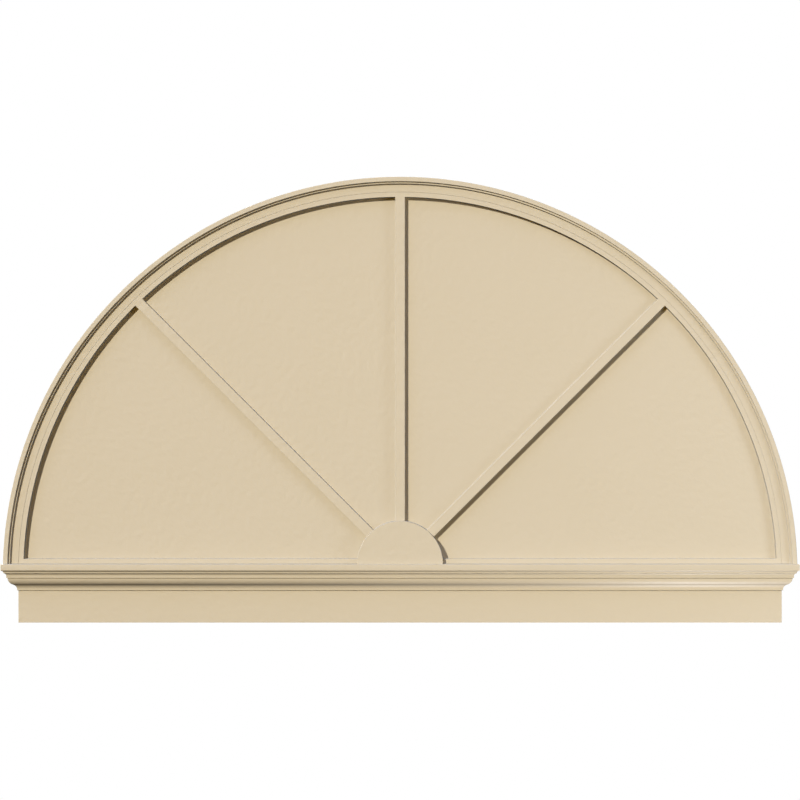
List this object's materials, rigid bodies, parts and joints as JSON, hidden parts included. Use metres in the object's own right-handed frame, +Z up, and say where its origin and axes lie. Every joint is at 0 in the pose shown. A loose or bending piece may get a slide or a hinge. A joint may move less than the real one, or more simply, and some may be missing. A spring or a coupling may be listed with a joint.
{
  "type": "half round pediment",
  "caption": "Half round sunburst pediment with recessed fields between raised ribs, a stepped arch moulding and a cornice and frieze below.",
  "frame": {"origin": "centre of the arch's outer circle, on the flat back that lies against the wall", "axes": "+X to the right along the wall as seen from the front, +Y into the wall, +Z up; the moulded face looks along -Y"},
  "size_m": [1.8288, 0.0606, 1.025],
  "materials": {
    "primed_panel": "high-density urethane foam, moulded, tan primer with a faint orange peel",
    "primed_arch": "high-density urethane foam, moulded, tan primer with a faint orange peel",
    "primed_trim": "high-density urethane foam, moulded, tan primer with a faint orange peel"
  },
  "bodies": {
    "root": {"sunburst_panel": "primed_panel", "arch_moulding": "primed_arch", "bottom_trim": "primed_trim"}
  },
  "joints": []
}
